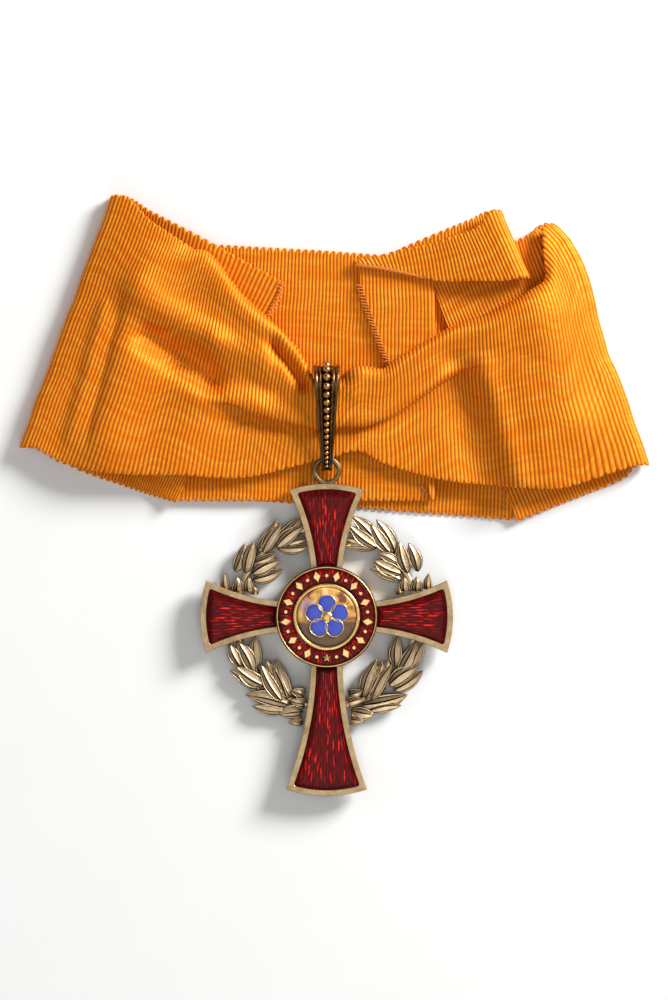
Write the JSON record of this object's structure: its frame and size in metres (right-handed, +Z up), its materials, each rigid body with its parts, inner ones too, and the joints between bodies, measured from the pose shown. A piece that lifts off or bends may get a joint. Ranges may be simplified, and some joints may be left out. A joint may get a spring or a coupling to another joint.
{
  "type": "order neck badge",
  "caption": "Enamelled cross with laurel wreath and raised medallion on ring and bail, lying flat with its folded neck ribbon.",
  "frame": {"origin": "centre of the flat back of the reverse medallion, on the surface that the badge lies on", "axes": "+Z up out of the surface, +X to the wearer's left across the side arms, +Y along the top arm towards the ribbon"},
  "size_m": [0.1387, 0.1317, 0.0118],
  "materials": {
    "gilt": "satin, worn silver gilt",
    "dark_gilt": "satin, oxidised gilt",
    "red_enamel": "gloss",
    "amber_enamel": "gloss",
    "blue_enamel": "gloss",
    "orange_silk": "ribbed silk"
  },
  "bodies": {
    "root": {"cross_frame": "gilt", "enamel_arm_top": "red_enamel", "enamel_arm_left": "red_enamel", "enamel_arm_right": "red_enamel", "enamel_arm_bottom": "red_enamel", "laurel_wreath": "gilt", "medallion_frame": "gilt", "medallion_ring_enamel": "red_enamel", "medallion_ornaments": "gilt", "medallion_centre_enamel": "amber_enamel", "centre_flower": "blue_enamel", "reverse_medallion": "gilt", "suspension_bail": "dark_gilt", "ribbon_band": "orange_silk", "back_panel_left": "orange_silk", "back_panel_right": "orange_silk", "strap_loop": "orange_silk"}
  },
  "joints": []
}
